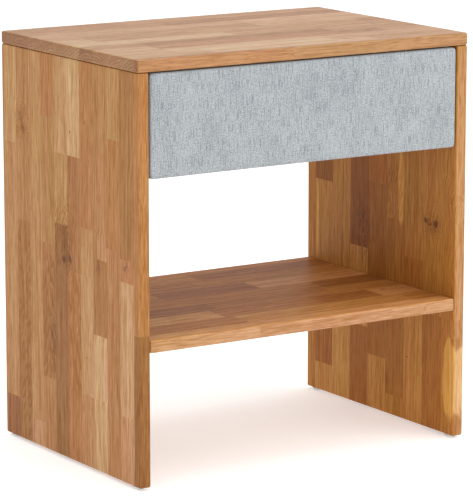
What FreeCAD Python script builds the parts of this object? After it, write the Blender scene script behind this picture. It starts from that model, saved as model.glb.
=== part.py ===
"""Nightstand with one fabric-fronted drawer, an open shelf and two full-length side boards.

Millimetres, +Z up, the front faces -Y. The origin is on the floor, under the middle of the nightstand.
Every separate piece is written to parts/NODE.step.
"""

import FreeCAD
import Part
import math
import os
from FreeCAD import Vector

# Overall size, over the boards and down to the floor.
WIDTH = 550.0
DEPTH = 380.0
HEIGHT = 596.0

# Edge-glued boards of the carcass.
BOARD = 18.0
EDGE_RADIUS = 3.0
SHELF_TOP = 210.0
REAR_SETBACK = 5.0  # shelf and rear rail stop this far in front of the side boards' rear edges
RAIL_HEIGHT = 120.0

# Nail-on floor glides.
GLIDE_HEIGHT = 4.0
GLIDE_MARGIN = 1.0  # inside each face of the side board
GLIDE_INSET = 18.0
GLIDE_ROUNDING = 1.2
NAIL_DIAMETER = 1.8
NAIL_LENGTH = 14.0
NAIL_HEAD_DIAMETER = 5.0
NAIL_HEAD_HEIGHT = 0.8
POINT_DIAMETER = 0.4  # flat left at the tip of a nail or screw

# Dowels and cam fittings that join the boards.
DOWEL_DIAMETER = 8.0
DOWEL_IN_FACE = 12.0
DOWEL_IN_END = 23.0
DOWEL_CHAMFER = 1.0
DOWEL_END_ROOM = 1.0  # empty hole past each end of a dowel
DOWEL_INSET = 45.0  # from a board's front and rear edges
CAM_INSET = 90.0
RAIL_DOWEL_SPREAD = 40.0  # above and below the rail's cam fitting
CAM_DIAMETER = 15.0
CAM_FLOOR = 0.3  # of the cam below the bolt head
CAM_REACH = 34.0  # from the joint to the cam's axis
CAM_CLEARANCE = 0.1
BOLT_THREAD_DIAMETER = 5.0
BOLT_THREAD_LENGTH = 11.0
BOLT_SHANK_DIAMETER = 6.8
BOLT_NECK_DIAMETER = 3.6
BOLT_HEAD_DIAMETER = 6.4
BOLT_HEAD_LENGTH = 3.0
BOLT_CHANNEL_DIAMETER = 8.0
BOLT_SHOULDER_ROOM = 1.0  # between the bolt shoulder and the cam
HEAD_CLEARANCE = 0.4
NECK_CLEARANCE = 0.3
DRIVER_SLOT_WIDTH = 1.2
DRIVER_SLOT_LENGTH = 6.0
DRIVER_SLOT_DEPTH = 2.2
CAP_DIAMETER = 17.0
CAP_HEIGHT = 1.2
CAP_ROUNDING = 0.7
CAP_PLUG_DIAMETER = 2.6
CAP_PLUG_LENGTH = 1.5
CAP_PLUG_CLEARANCE = 0.15

# Drawer front: a board with thin padding on its face, wrapped in cloth and stapled behind.
FRONT_GAP = 2.0  # to the side boards and the top
FRONT_HEIGHT = 144.0
CORE_THICKNESS = 16.0
PADDING = 3.0
CLOTH = 1.0
COVER_CORNER_RADIUS = 5.0
COVER_FACE_RADIUS = 3.6
HEM_LONG = 20.0  # turned over the long edges
HEM_SHORT = 9.0  # turned over the ends
STAPLE_CROWN = 10.0
STAPLE_LEG = 7.0
STAPLE_WIDTH = 1.2
STAPLE_WIRE = 0.6
STAPLE_PITCH = 42.0
HEM_ROUNDING = 0.7

# Drawer box.
BOX_RISE = 24.0  # box bottom above the front's bottom edge
BOX_DROP = 24.0  # box top below the front's top edge
BOX_REAR_ROOM = 27.0  # between the box and the rear rail
BOX_BOARD = 12.0
BOTTOM_THICKNESS = 4.0
BOTTOM_RISE = 8.0
GROOVE_DEPTH = 5.0
GROOVE_CLEARANCE = 0.1
TAIL_COUNT = 3
TAIL_ANGLE = math.radians(9.0)
TAIL_SHARE = 0.66  # of the pitch, across a tail at its wide end
BOX_EDGE_RADIUS = 1.5

# Ball-bearing slides, three members a side.
SLIDE_SETBACK = 3.0  # behind the drawer front's board
SLIDE_END_ROOM = 7.0  # in front of the box's rear end
SLIDE_SHORTER = 4.0  # the two moving members stop short of the rear bumper
SLIDE_HEIGHT = 45.6
CAP_SLIDE_GAP = 14.7  # between a slide and the cam caps above it
SHEET = 1.2
BALL_DIAMETER = 3.2
RACE_CLEARANCE = 0.15
RACE_ANGLE = math.radians(30.0)
RACE_BEND = 0.9
CORNER_BEND = 0.9
RACE_RUN = 0.2  # straight run beside a race
INNER_RUN = 0.5  # the same in the member on the box
MEMBER_GAP = 0.3
CAGE_SHEET = 0.5
CAGE_BEND = 1.0
CAGE_LIP = 0.2  # past the balls
CAGE_END_ROOM = 19.0  # at each end of a cage with the drawer fully out
BALL_PITCH = 13.5
CAGE_POCKET_CLEARANCE = 0.05
LIP = 0.8
STOP_TAB_HEIGHT = 2.4
STOP_TAB_OVERLAP = 1.2  # of the tab across the lever, measured out from the side board
STOP_CLEARANCE = 0.4
LEVER_THICKNESS = 2.2
LEVER_HEIGHT = 7.0
LEVER_ARM = 32.0
LEVER_TAIL = 24.0
LEVER_TIP = 3.0
LEVER_GRIPS = 3
LEVER_GRIP_DIAMETER = 1.6
LEVER_GRIP_PITCH = 3.5
RIVET_DIAMETER = 3.0
RIVET_CLEARANCE = 0.08
RIVET_HEAD_DIAMETER = 5.0
RIVET_HEAD_HEIGHT = 0.8
BUMPER_CLEARANCE = 0.5
BUMPER_PEG_DIAMETER = 3.0
BUMPER_ROUNDING = 1.0

# Screws.
SLIDE_SCREW_DIAMETER = 3.0
SLIDE_SCREW_HEAD = 6.2
SIDE_SCREW_LENGTH = 15.0
BOX_SCREW_LENGTH = 11.0
SCREW_END_INSET = 36.0
SCREW_LEVER_GAP = 15.0
FRONT_SCREW_DIAMETER = 4.0
FRONT_SCREW_HEAD = 8.0
FRONT_SCREW_HEAD_HEIGHT = 2.4
FRONT_SCREW_LENGTH = 24.0
FRONT_SCREW_INSET_X = 60.0
FRONT_SCREW_INSET_Z = 26.0
PAN_ROUNDING_SHARE = 0.6  # of a round head's height
SCREW_POINT_SHARE = 2.0  # length of the point, in diameters
RECESS_LENGTH_SHARE = 1.2  # cross recess, in screw diameters
RECESS_WIDTH_SHARE = 0.24
RECESS_DEPTH_SHARE = 0.35

FILLET_LIMIT = 0.45  # of a board's thinnest side
OVERCUT = 1.0  # cutting tools run this far past a face
SAME = 0.01  # places nearer than this are the same

X = Vector(1, 0, 0)
Y = Vector(0, 1, 0)
Z = Vector(0, 0, 1)

# Places worked out from the sizes above.
front = -DEPTH / 2
rear = DEPTH / 2
inner = WIDTH / 2 - BOARD  # half the clear width between the side boards
side_top = HEIGHT - BOARD
inside_rear = rear - REAR_SETBACK
front_top = side_top - FRONT_GAP
front_bottom = front_top - FRONT_HEIGHT
core_face = front + CLOTH + PADDING
core_back = core_face + CORE_THICKNESS
box_bottom = front_bottom + BOX_RISE
box_top = front_top - BOX_DROP
box_height = box_top - box_bottom
box_rear = inside_rear - BOARD - BOX_REAR_ROOM
slide_front = core_back + SLIDE_SETBACK
slide_rear = box_rear - SLIDE_END_ROOM
travel = slide_rear - slide_front  # full extension, the slide's own length
slide_middle = (slide_front + slide_rear) / 2
slide_top = side_top - CAM_REACH - CAP_DIAMETER / 2 - CAP_SLIDE_GAP
slide_axis = slide_top - SLIDE_HEIGHT / 2
glide_diameter = BOARD - 2 * GLIDE_MARGIN
cam_height = BOARD / 2 + BOLT_HEAD_DIAMETER / 2 + CAM_FLOOR

# Levels inside a slide. u runs from the side board towards the box, w up from the slide's axis.
race_radius = BALL_DIAMETER / 2 + RACE_CLEARANCE + SHEET / 2
race_rise = (race_radius + RACE_BEND) * (1 - math.cos(RACE_ANGLE))
race_half_width = (race_radius + RACE_BEND) * math.sin(RACE_ANGLE)
flange_step = race_radius - race_rise
outer_flange = SLIDE_HEIGHT / 2 - SHEET / 2 - race_rise
outer_balls = outer_flange - flange_step
middle_flange = outer_balls - flange_step
inner_balls = middle_flange - flange_step
inner_flange = inner_balls - flange_step
outer_web = SHEET / 2
outer_cage_web = SHEET + MEMBER_GAP + CAGE_SHEET / 2
middle_web = outer_cage_web + CAGE_SHEET / 2 + MEMBER_GAP + SHEET / 2
inner_cage_web = middle_web + SHEET / 2 + MEMBER_GAP + CAGE_SHEET / 2
outer_race = middle_web + CORNER_BEND + RACE_RUN + race_half_width
inner_race = outer_race + 2 * race_half_width + RACE_RUN
inner_web = inner_race + race_half_width + INNER_RUN + CORNER_BEND
slide_gap = inner_web + SHEET / 2
box_half = inner - slide_gap
cage_length = travel / 2 - SLIDE_SHORTER - 2 * CAGE_END_ROOM
lever_far = inner_web - SHEET / 2 - MEMBER_GAP
lever_near = lever_far - LEVER_THICKNESS
tab_reach = lever_near + STOP_TAB_OVERLAP
tab_rear = slide_front + SHEET
lever_tip_y = tab_rear + travel / 2 + STOP_CLEARANCE
lever_pivot_y = lever_tip_y + LEVER_ARM


def box(x0, x1, y0, y1, z0, z1):
    """A block between two opposite corners, given in any order."""
    low = Vector(min(x0, x1), min(y0, y1), min(z0, z1))
    return Part.makeBox(abs(x1 - x0), abs(y1 - y0), abs(z1 - z0), low)


def cylinder(diameter, start, direction, length):
    return Part.makeCylinder(diameter / 2, length, start, direction)


def cone(diameter_start, diameter_end, start, direction, length):
    return Part.makeCone(diameter_start / 2, diameter_end / 2, length, start, direction)


def fused(shapes):
    """One clean solid from shapes that touch or overlap."""
    return shapes[0].multiFuse(shapes[1:]).removeSplitter()


def mirrored(shape):
    """The same piece on the other side of the nightstand."""
    return shape.mirror(Vector(0, 0, 0), X)


def both_sides(shapes):
    """The left-hand pieces and their mirror images."""
    return shapes + [mirrored(s) for s in shapes]


def save(name, shapes):
    """Writes one node. A list becomes a group of separate solids."""
    shape = Part.makeCompound(shapes) if isinstance(shapes, list) else shapes
    shape.exportStep(os.path.join("parts", name + ".step"))


def save_pair(name, left):
    """Writes left_NAME and its mirror image right_NAME."""
    save("left_" + name, left)
    save("right_" + name, [mirrored(s) for s in left] if isinstance(left, list) else mirrored(left))


def rounded_board(x0, x1, y0, y1, z0, z1, radius):
    """A board with every edge rounded, kept under half its thinnest side."""
    block = box(x0, x1, y0, y1, z0, z1)
    thinnest = min(abs(x1 - x0), abs(y1 - y0), abs(z1 - z0))
    return block.makeFillet(min(radius, FILLET_LIMIT * thinnest), block.Edges)


# ---------------------------------------------------------------- fasteners


def dowel(joint, into_end):
    """A dowel across a joint, and the hole it sits in. into_end points into the board's end."""
    start = joint - into_end * DOWEL_IN_FACE
    length = DOWEL_IN_FACE + DOWEL_IN_END
    narrow = DOWEL_DIAMETER - 2 * DOWEL_CHAMFER
    near_end = start + into_end * DOWEL_CHAMFER
    far_end = start + into_end * (length - DOWEL_CHAMFER)
    straight = cylinder(DOWEL_DIAMETER, near_end, into_end, length - 2 * DOWEL_CHAMFER)
    near_tip = cone(narrow, DOWEL_DIAMETER, start, into_end, DOWEL_CHAMFER)
    far_tip = cone(DOWEL_DIAMETER, narrow, far_end, into_end, DOWEL_CHAMFER)
    hole = cylinder(DOWEL_DIAMETER, start - into_end * DOWEL_END_ROOM, into_end, length + 2 * DOWEL_END_ROOM)
    return fused([straight, near_tip, far_tip]), hole


def cam_bolt(joint, into_end):
    """The bolt of a cam fitting: its thread in one board's face, its head inside the cam in the other."""
    thread_end = joint - into_end * BOLT_THREAD_LENGTH
    head_start = CAM_REACH - BOLT_HEAD_LENGTH / 2
    neck_start = CAM_REACH - CAM_DIAMETER / 2 - BOLT_SHOULDER_ROOM
    return fused(
        [
            cylinder(BOLT_THREAD_DIAMETER, thread_end, into_end, BOLT_THREAD_LENGTH),
            cylinder(BOLT_SHANK_DIAMETER, joint, into_end, neck_start),
            cylinder(BOLT_NECK_DIAMETER, joint + into_end * neck_start, into_end, head_start - neck_start),
            cylinder(BOLT_HEAD_DIAMETER, joint + into_end * head_start, into_end, BOLT_HEAD_LENGTH),
        ]
    )


def cam_housing(centre, face_normal, into_end):
    """The turning cam: a pocket for the bolt's head, a slot for its neck and a crossed driver recess."""
    face = centre + face_normal * (BOARD / 2)
    foot = face - face_normal * cam_height
    body = cylinder(CAM_DIAMETER - 2 * CAM_CLEARANCE, foot, face_normal, cam_height)
    pocket_diameter = BOLT_HEAD_DIAMETER + 2 * HEAD_CLEARANCE
    pocket = Part.makeSphere(pocket_diameter / 2, centre)
    sweep_height = BOLT_NECK_DIAMETER + 2 * NECK_CLEARANCE
    slot = cylinder(sweep_height, centre, into_end * -1, CAM_DIAMETER)
    entry = cylinder(pocket_diameter, centre, into_end.cross(face_normal), CAM_DIAMETER)
    sweep = Part.makeCylinder(CAM_DIAMETER, sweep_height, Vector(0, 0, 0), Z, 90)
    across = into_end.cross(face_normal)
    turn = FreeCAD.Rotation(into_end * -1, across, face_normal, "ZXY")
    sweep.Placement = FreeCAD.Placement(centre - face_normal * (sweep_height / 2), turn)
    tools = [pocket, slot, entry, sweep]
    for direction in (into_end, across):
        side = face_normal.cross(direction)
        corner = face - direction * (DRIVER_SLOT_LENGTH / 2) - side * (DRIVER_SLOT_WIDTH / 2)
        far = face + direction * (DRIVER_SLOT_LENGTH / 2) + side * (DRIVER_SLOT_WIDTH / 2)
        far = far - face_normal * DRIVER_SLOT_DEPTH
        tools.append(box(corner.x, far.x, corner.y, far.y, corner.z, far.z))
    plug_hole = CAP_PLUG_DIAMETER + 2 * CAP_PLUG_CLEARANCE
    tools.append(cylinder(plug_hole, face, face_normal * -1, DRIVER_SLOT_DEPTH))
    return body.cut(tools)


def cam_cap(centre, face_normal):
    """The plastic cap over a cam, flat on the board with a plug in the driver recess."""
    face = centre + face_normal * (BOARD / 2)
    disc = cylinder(CAP_DIAMETER, face, face_normal, CAP_HEIGHT)
    rim = [e for e in disc.Edges if e.Closed and (e.CenterOfMass - face).dot(face_normal) > CAP_HEIGHT / 2]
    disc = disc.makeFillet(CAP_ROUNDING, rim)
    plug = cylinder(CAP_PLUG_DIAMETER, face, face_normal * -1, CAP_PLUG_LENGTH)
    return fused([disc, plug])


def cam_fitting(joint, into_end, face_normal):
    """Bolt, cam and cap of one fitting, and the holes that the two boards need for it."""
    centre = joint + into_end * CAM_REACH
    face = centre + face_normal * (BOARD / 2)
    depth = cam_height + 2 * CAM_CLEARANCE
    holes = [
        cylinder(BOLT_THREAD_DIAMETER, joint - into_end * BOLT_THREAD_LENGTH, into_end, BOLT_THREAD_LENGTH),
        cylinder(BOLT_CHANNEL_DIAMETER, joint, into_end, CAM_REACH),
        cylinder(CAM_DIAMETER, face - face_normal * depth, face_normal, depth + OVERCUT),
    ]
    lock = cam_housing(centre, face_normal, into_end)
    return cam_bolt(joint, into_end), lock, cam_cap(centre, face_normal), holes


def countersunk_screw(diameter, head, length, start, direction):
    """A countersunk wood screw whose flat head starts at start, drawn with its core as its shank."""
    head_height = (head - diameter) / 2
    tip = SCREW_POINT_SHARE * diameter
    shank = length - head_height - tip
    solid = fused(
        [
            cone(head, diameter, start, direction, head_height),
            cylinder(diameter, start + direction * head_height, direction, shank),
            cone(diameter, POINT_DIAMETER, start + direction * (head_height + shank), direction, tip),
        ]
    )
    return solid, cross_recess(start, direction, diameter)


def pan_screw(diameter, head, head_height, length, start, direction):
    """A wood screw with a low round head that stands on the surface at start."""
    tip = SCREW_POINT_SHARE * diameter
    dome = cylinder(head, start - direction * head_height, direction, head_height)
    rim = [e for e in dome.Edges if e.Closed and (e.CenterOfMass - start).dot(direction) < -head_height / 2]
    dome = dome.makeFillet(PAN_ROUNDING_SHARE * head_height, rim)
    shank = cylinder(diameter, start, direction, length - tip)
    point = cone(diameter, POINT_DIAMETER, start + direction * (length - tip), direction, tip)
    return fused([dome, shank, point]), cross_recess(start - direction * head_height, direction, diameter)


def cross_recess(start, direction, diameter):
    """The two crossed slots that a screwdriver fits, sunk into a head from start."""
    across = Z if abs(direction.z) < 0.5 else X
    up = direction.cross(across)
    sunk = direction * (RECESS_DEPTH_SHARE * diameter)
    half_length = RECESS_LENGTH_SHARE * diameter / 2
    half_width = RECESS_WIDTH_SHARE * diameter / 2
    slots = []
    for long_way, short_way in ((across, up), (up, across)):
        half = long_way * half_length + short_way * half_width
        low = start - half
        high = start + half + sunk
        slots.append(box(low.x, high.x, low.y, high.y, low.z, high.z))
    return slots


# ---------------------------------------------------------------- carcass joints

edge_rows = (front + DOWEL_INSET, inside_rear - DOWEL_INSET)
cam_rows = (front + CAM_INSET, inside_rear - CAM_INSET)
shelf_axis = SHELF_TOP - BOARD / 2
rail_axis_y = inside_rear - BOARD / 2
rail_axis_z = side_top - RAIL_HEIGHT / 2
board_middle = WIDTH / 2 - BOARD / 2


def carcass_joints():
    """All dowels and cam fittings, left and right, with the holes that they need."""
    dowels, bolts, cams, caps, holes = [], [], [], [], []
    for side in (-1, 1):
        inward = X * -side
        dowel_places = [(Vector(side * board_middle, y, side_top), Z * -1) for y in edge_rows]
        dowel_places += [(Vector(side * inner, y, shelf_axis), inward) for y in edge_rows]
        dowel_places += [
            (Vector(side * inner, rail_axis_y, rail_axis_z + dz), inward)
            for dz in (-RAIL_DOWEL_SPREAD, RAIL_DOWEL_SPREAD)
        ]
        for place, into_end in dowel_places:
            pin, hole = dowel(place, into_end)
            dowels.append(pin)
            holes.append(hole)
        cam_places = [(Vector(side * board_middle, y, side_top), Z * -1, inward) for y in cam_rows]
        cam_places += [(Vector(side * inner, y, shelf_axis), inward, Z * -1) for y in cam_rows]
        cam_places.append((Vector(side * inner, rail_axis_y, rail_axis_z), inward, Y * -1))
        for place, into_end, face_normal in cam_places:
            bolt, cam, cap, cuts = cam_fitting(place, into_end, face_normal)
            bolts.append(bolt)
            cams.append(cam)
            caps.append(cap)
            holes += cuts
    return dowels, bolts, cams, caps, holes


# ---------------------------------------------------------------- glides


def glide_places():
    """Name and centre, at the floor, of each glide."""
    return {
        f"{end}_{side}_glide": Vector(x, y, 0)
        for end, y in (("front", front + GLIDE_INSET), ("rear", rear - GLIDE_INSET))
        for side, x in (("left", -board_middle), ("right", board_middle))
    }


def glide_nail(foot):
    """The nail moulded into a glide: its head inside the plastic, its shank up in the side board."""
    head = cylinder(NAIL_HEAD_DIAMETER, foot + Z * (GLIDE_HEIGHT / 2), Z, NAIL_HEAD_HEIGHT)
    shank = cylinder(NAIL_DIAMETER, foot + Z * (GLIDE_HEIGHT / 2), Z, NAIL_LENGTH)
    tip_start = foot + Z * (GLIDE_HEIGHT / 2 + NAIL_LENGTH)
    point = cone(NAIL_DIAMETER, POINT_DIAMETER, tip_start, Z, SCREW_POINT_SHARE * NAIL_DIAMETER)
    return fused([head, shank, point])


def glide(foot, nail):
    """A round plastic pad with a softened rim at the floor."""
    pad = cylinder(glide_diameter, foot, Z, GLIDE_HEIGHT)
    rim = [e for e in pad.Edges if e.Closed and e.CenterOfMass.z < GLIDE_HEIGHT / 2]
    return pad.makeFillet(GLIDE_ROUNDING, rim).cut(nail)


# ---------------------------------------------------------------- slides


def on_circle(centre, radius, angle):
    return centre + Vector(math.cos(angle), math.sin(angle), 0) * radius


def arc_strip(centre, tight, wide, first, angle):
    """The part of a ring between two radii, from the angle first over the given angle."""
    middle, last = first + angle / 2, first + angle
    out = [on_circle(centre, wide, a) for a in (first, middle, last)]
    back = [on_circle(centre, tight, a) for a in (last, middle, first)]
    edges = [
        Part.Arc(*out).toShape(),
        Part.makeLine(out[-1], back[0]),
        Part.Arc(*back).toShape(),
        Part.makeLine(back[-1], out[0]),
    ]
    return Part.Face(Part.Wire(edges))


def bent_sheet(start, heading, moves, thickness):
    """The section of a bent strip, as faces in the u-w plane. moves are lengths of straight runs and
    (radius, angle) bends on the strip's centreline, where a positive angle turns left."""
    pieces = []
    place = start
    half = thickness / 2
    for move in moves:
        along = Vector(math.cos(heading), math.sin(heading), 0)
        left = Vector(-along.y, along.x, 0)
        if isinstance(move, float):
            end = place + along * move
            corners = [place + left * half, end + left * half, end - left * half, place - left * half]
            pieces.append(Part.Face(Part.makePolygon(corners + corners[:1])))
            place = end
            continue
        radius, angle = move
        centre = place + left * math.copysign(radius, angle)
        first = math.atan2(place.y - centre.y, place.x - centre.x)
        pieces.append(arc_strip(centre, radius - half, radius + half, first, angle))
        place = on_circle(centre, radius, first + angle)
        heading += angle
    return pieces


def race(outward):
    """Bends of one ball race in a flange: outward 1 bulges away from the slide's axis, -1 towards it."""
    turn = outward * RACE_ANGLE
    return [(RACE_BEND, turn), (race_radius, -2 * turn), (RACE_BEND, turn)]


def channel(half_section, y0, y1):
    """A slide member from the section of its upper half, mirrored below the slide's axis."""
    upper = [face.extrude(Vector(0, 0, y1 - y0)) for face in half_section]
    lower = [piece.mirror(Vector(0, 0, 0), Y) for piece in upper]
    section = fused(upper + lower)
    # u -> X, w -> Z, the extrusion runs along Y.
    turn = FreeCAD.Rotation(X, Z, Y * -1, "XYZ")
    section.Placement = FreeCAD.Placement(Vector(-inner, y1, slide_axis), turn)
    return section


def member_section(web, flange, corner, flange_moves):
    """Half a section: up the web, round the corner and along the flange."""
    moves = [flange - CORNER_BEND, corner] + flange_moves
    return bent_sheet(Vector(web, 0, 0), math.pi / 2, moves, SHEET)


def slide_outer_body():
    """The member on the side board, open towards the box."""
    run_in = outer_race - race_half_width - (outer_web + CORNER_BEND)
    moves = [run_in] + race(1) + [LIP]
    section = member_section(outer_web, outer_flange, (CORNER_BEND, -math.pi / 2), moves)
    return channel(section, slide_front, slide_rear)


def slide_middle_body():
    """The middle member, with the outer ball row on its flanges' outside and the inner row inside."""
    moves = [RACE_RUN] + race(-1) + [RACE_RUN] + race(1)
    section = member_section(middle_web, middle_flange, (CORNER_BEND, -math.pi / 2), moves)
    body = channel(section, slide_front, slide_rear - SLIDE_SHORTER)
    tab = box(
        -inner + middle_web, -inner + tab_reach, slide_front, slide_front + SHEET,
        slide_axis - STOP_TAB_HEIGHT / 2, slide_axis + STOP_TAB_HEIGHT / 2,
    )  # fmt: skip
    return fused([body, tab])


def slide_inner_body():
    """The member on the drawer box, open towards the side board."""
    # Drawn the other way round: the flange runs back towards the side board.
    moves = [INNER_RUN] + [(radius, -angle) for radius, angle in race(-1)] + [LIP]
    section = member_section(inner_web, inner_flange, (CORNER_BEND, math.pi / 2), moves)
    return channel(section, slide_front, slide_rear - SLIDE_SHORTER)


def cage(web, balls_w, balls_u):
    """A ball cage half-way along the closed slide, and the balls in its pockets."""
    reach = balls_u + BALL_DIAMETER / 2 + CAGE_LIP - web - CAGE_BEND
    moves = [balls_w - CAGE_BEND, (CAGE_BEND, -math.pi / 2), reach]
    half_length = cage_length / 2
    section = bent_sheet(Vector(web, 0, 0), math.pi / 2, moves, CAGE_SHEET)
    body = channel(section, slide_middle - half_length, slide_middle + half_length)
    count = round(cage_length / BALL_PITCH)
    pitch = cage_length / count
    centres = [
        Vector(-inner + balls_u, slide_middle - half_length + pitch * (i + 0.5), slide_axis + side * balls_w)
        for i in range(count)
        for side in (-1, 1)
    ]
    pocket = BALL_DIAMETER + 2 * CAGE_POCKET_CLEARANCE
    pockets = [cylinder(pocket, c - Z * CAGE_SHEET, Z, 2 * CAGE_SHEET) for c in centres]
    return body.cut(pockets), [Part.makeSphere(BALL_DIAMETER / 2, c) for c in centres]


def release_lever():
    """The plastic lever that hooks the middle member at full extension and frees the drawer when turned."""
    u0, u1 = -inner + lever_near, -inner + lever_far
    half, tip = LEVER_HEIGHT / 2, LEVER_TIP / 2
    shoulder = lever_tip_y + LEVER_ARM / 3
    tail = lever_pivot_y + LEVER_TAIL
    profile = [
        (lever_tip_y, -tip), (shoulder, -tip), (lever_pivot_y - half, -half), (tail - half, -half),
        (tail, -tip), (tail, tip), (tail - half, half), (lever_pivot_y - half, half),
        (shoulder, tip), (lever_tip_y, tip),
    ]  # fmt: skip
    points = [Vector(u0, y, slide_axis + w) for y, w in profile]
    blade = Part.Face(Part.makePolygon(points + points[:1])).extrude(X * (u1 - u0))
    bore = cylinder(RIVET_DIAMETER + 2 * RIVET_CLEARANCE, lever_axis_point(u0), X, LEVER_THICKNESS)
    grip_rows = [tail - half - LEVER_GRIP_PITCH * i for i in range(LEVER_GRIPS)]
    grip_starts = [Vector(u0, y, slide_axis - half) for y in grip_rows]
    grips = [cylinder(LEVER_GRIP_DIAMETER, start, Z, LEVER_HEIGHT) for start in grip_starts]
    return blade.cut([bore] + grips)


def lever_axis_point(x):
    return Vector(x, lever_pivot_y, slide_axis)


def lever_rivet():
    """The rivet that the lever turns on, fixed in the inner member's web."""
    head_start = -inner + lever_near - MEMBER_GAP / 2 - RIVET_HEAD_HEIGHT
    head = cylinder(RIVET_HEAD_DIAMETER, lever_axis_point(head_start), X, RIVET_HEAD_HEIGHT)
    shank = cylinder(RIVET_DIAMETER, lever_axis_point(head_start), X, -box_half - head_start)
    return fused([head, shank])


def bumper():
    """The rear buffer inside the outer member that the closing members stop at, pegged through its web."""
    u0, u1 = -inner + SHEET, -inner + inner_web
    y0 = slide_rear - SLIDE_SHORTER + BUMPER_CLEARANCE
    half = inner_flange - SHEET
    block = box(u0, u1, y0, slide_rear, slide_axis - half, slide_axis + half)
    upright = [e for e in block.Edges if abs(e.tangentAt(e.FirstParameter).x) > 0.9]
    block = block.makeFillet(BUMPER_ROUNDING, upright)
    peg = cylinder(BUMPER_PEG_DIAMETER, Vector(-inner, (y0 + slide_rear) / 2, slide_axis), X, SHEET)
    return fused([block, peg]), peg


def screw_rows():
    """Where the screws stand along a slide."""
    before_lever = lever_tip_y - SLIDE_SCREW_HEAD - SCREW_LEVER_GAP
    return (slide_front + SCREW_END_INSET, before_lever, slide_rear - SCREW_END_INSET)


def slide_screws():
    """Left-hand screws, outer member to side board and inner member to box, with their recesses."""
    to_side, to_box, recesses = [], [], []
    sizes = (SLIDE_SCREW_DIAMETER, SLIDE_SCREW_HEAD)
    rows = (
        (to_side, SHEET - inner, SIDE_SCREW_LENGTH, X * -1),
        (to_box, -SHEET - box_half, BOX_SCREW_LENGTH, X),
    )
    for screws, x, length, direction in rows:
        for y in screw_rows():
            screw, recess = countersunk_screw(*sizes, length, Vector(x, y, slide_axis), direction)
            screws.append(screw)
            recesses += recess
    return to_side, to_box, recesses


# ---------------------------------------------------------------- drawer box


def tails(y0, y1, wide_end):
    """The dovetail tails at one end of the left box side, between y0 and y1. wide_end is y0 or y1."""
    pitch = box_height / TAIL_COUNT
    spread = abs(y1 - y0) * math.tan(TAIL_ANGLE)
    made = []
    for i in range(TAIL_COUNT):
        centre = box_bottom + pitch * (i + 0.5)
        wide = TAIL_SHARE * pitch / 2
        narrow = wide - spread
        z0, z1 = (wide, narrow) if wide_end == y0 else (narrow, wide)
        outline = [(y0, centre - z0), (y1, centre - z1), (y1, centre + z1), (y0, centre + z0)]
        points = [Vector(-box_half, y, z) for y, z in outline]
        made.append(Part.Face(Part.makePolygon(points + points[:1])).extrude(X * BOX_BOARD))
    return made


def drawer_box(side_holes, front_holes):
    """Left side, right side, front, back and bottom of the dovetailed box."""
    inside_x = box_half - BOX_BOARD
    inside_front = core_back + BOX_BOARD
    inside_back = box_rear - BOX_BOARD
    front_tails = tails(core_back, inside_front, core_back)
    back_tails = tails(inside_back, box_rear, box_rear)
    left = box(-box_half, -inside_x, inside_front, inside_back, box_bottom, box_top)
    left = fused([left] + front_tails + back_tails)
    groove_x = inside_x + GROOVE_DEPTH
    groove_z = box_bottom + BOTTOM_RISE
    groove = box(
        -groove_x, groove_x, inside_front - GROOVE_DEPTH, inside_back + GROOVE_DEPTH,
        groove_z, groove_z + BOTTOM_THICKNESS + 2 * GROOVE_CLEARANCE,
    )  # fmt: skip
    all_front_tails = front_tails + [mirrored(t) for t in front_tails]
    all_back_tails = back_tails + [mirrored(t) for t in back_tails]
    box_front = box(-box_half, box_half, core_back, inside_front, box_bottom, box_top)
    box_front = box_front.cut(all_front_tails + [groove] + front_holes)
    box_back = box(-box_half, box_half, inside_back, box_rear, box_bottom, box_top)
    box_back = box_back.cut(all_back_tails + [groove])
    left = left.cut([groove] + side_holes)
    reach = GROOVE_DEPTH - 2 * GROOVE_CLEARANCE
    bottom = box(
        -inside_x - reach, inside_x + reach, inside_front - reach, inside_back + reach,
        groove_z + GROOVE_CLEARANCE, groove_z + GROOVE_CLEARANCE + BOTTOM_THICKNESS,
    )  # fmt: skip
    return soften_top(left), soften_top(box_front), soften_top(box_back), bottom


def soften_top(board):
    """Rounds the long top edges that a hand meets."""
    limits = board.BoundBox
    shortest = max(limits.XLength, limits.YLength) - 2 * BOX_BOARD - SAME
    edges = [e for e in board.Edges if limits.ZMax - e.BoundBox.ZMin < SAME and e.Length > shortest]
    return board.makeFillet(BOX_EDGE_RADIUS, edges)


# ---------------------------------------------------------------- drawer front

front_half = inner - FRONT_GAP


def front_block(inset, y0, y1, corner_radius):
    """A block in the drawer front's outline, inset all round, with rounded outline corners."""
    block = box(
        -front_half + inset, front_half - inset, y0, y1, front_bottom + inset, front_top - inset
    )
    upright = [e for e in block.Edges if abs(e.tangentAt(e.FirstParameter).y) > 0.9]
    return block.makeFillet(corner_radius, upright)


def rim_edges(shape, y):
    return [e for e in shape.Edges if abs(e.BoundBox.YMin - y) < SAME and abs(e.BoundBox.YMax - y) < SAME]


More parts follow.
